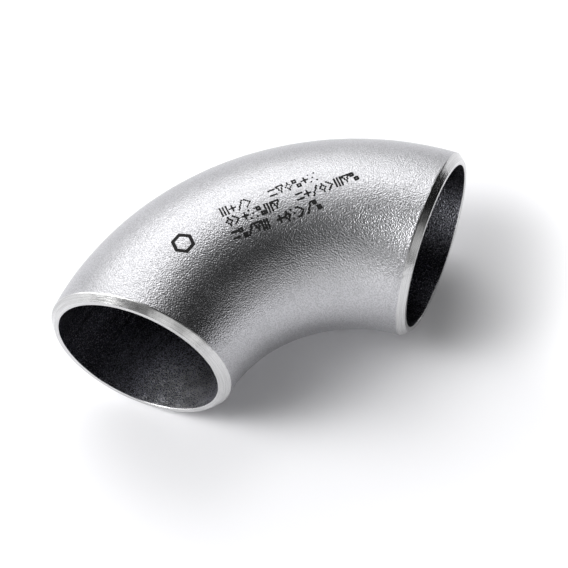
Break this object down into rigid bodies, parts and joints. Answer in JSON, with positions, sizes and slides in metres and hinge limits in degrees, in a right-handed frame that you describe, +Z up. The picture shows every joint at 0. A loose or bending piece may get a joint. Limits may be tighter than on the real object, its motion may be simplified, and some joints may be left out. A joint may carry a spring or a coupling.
{
  "type": "pipe elbow",
  "caption": "Seamless stainless butt-weld 90 degree long-radius pipe elbow, thin wall, blasted outside, both ends faced square and bevelled for welding.",
  "frame": {"origin": "middle of the underside of the bounding box: the elbow lies on its side, with its centreline bend plane level", "axes": "+Z up, across the bend plane; -Y is the way end A faces; +X is the way end B faces"},
  "size_m": [0.0812, 0.0812, 0.0483],
  "materials": {
    "blasted_stainless": "shot-blasted and pickled, fine pebbly satin grain",
    "pickled_bore": "dark, dull, granular as-formed bore surface",
    "machined_weld_prep": "bright turned surface with fine circular tool lines",
    "marking_ink": null
  },
  "bodies": {
    "root": {"elbow_body": "blasted_stainless"}
  },
  "joints": []
}
